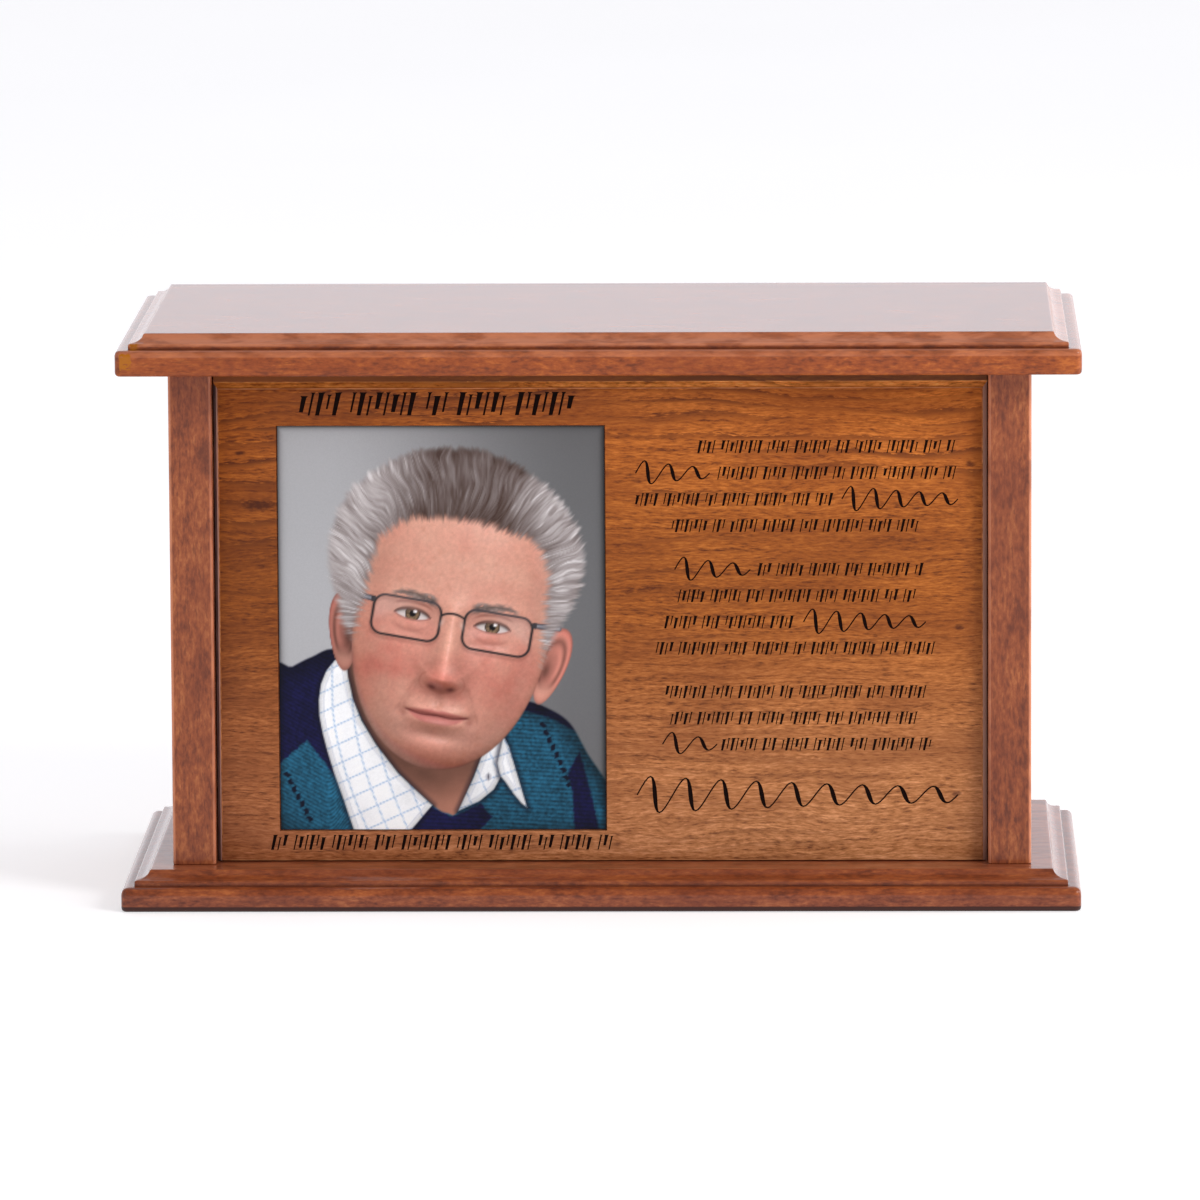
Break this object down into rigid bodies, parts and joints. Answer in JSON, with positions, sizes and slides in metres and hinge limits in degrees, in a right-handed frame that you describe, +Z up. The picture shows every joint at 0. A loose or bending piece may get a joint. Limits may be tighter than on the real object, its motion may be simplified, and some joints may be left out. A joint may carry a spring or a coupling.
{
  "type": "cremation urn box",
  "caption": "Wooden cremation urn box with a moulded base and lift-off lid, and a front panel with a picture print and rows of engraved strokes.",
  "frame": {"origin": "centre of the underside, on the surface the box stands on", "axes": "+X to the viewer's right when facing the picture panel, +Y from the front to the back, +Z up"},
  "size_m": [0.298, 0.146, 0.18],
  "materials": {
    "frame_wood": "red-brown stained maple or cherry under satin lacquer",
    "panel_wood": "yellow-brown figured cherry under satin lacquer, with burnt dark engraved strokes",
    "print": "satin photographic print on card"
  },
  "bodies": {
    "root": {"base": "frame_wood", "side_left": "frame_wood", "side_right": "frame_wood", "back": "frame_wood", "front_panel": "panel_wood", "photo_print": "print", "lid": "frame_wood"}
  },
  "joints": []
}
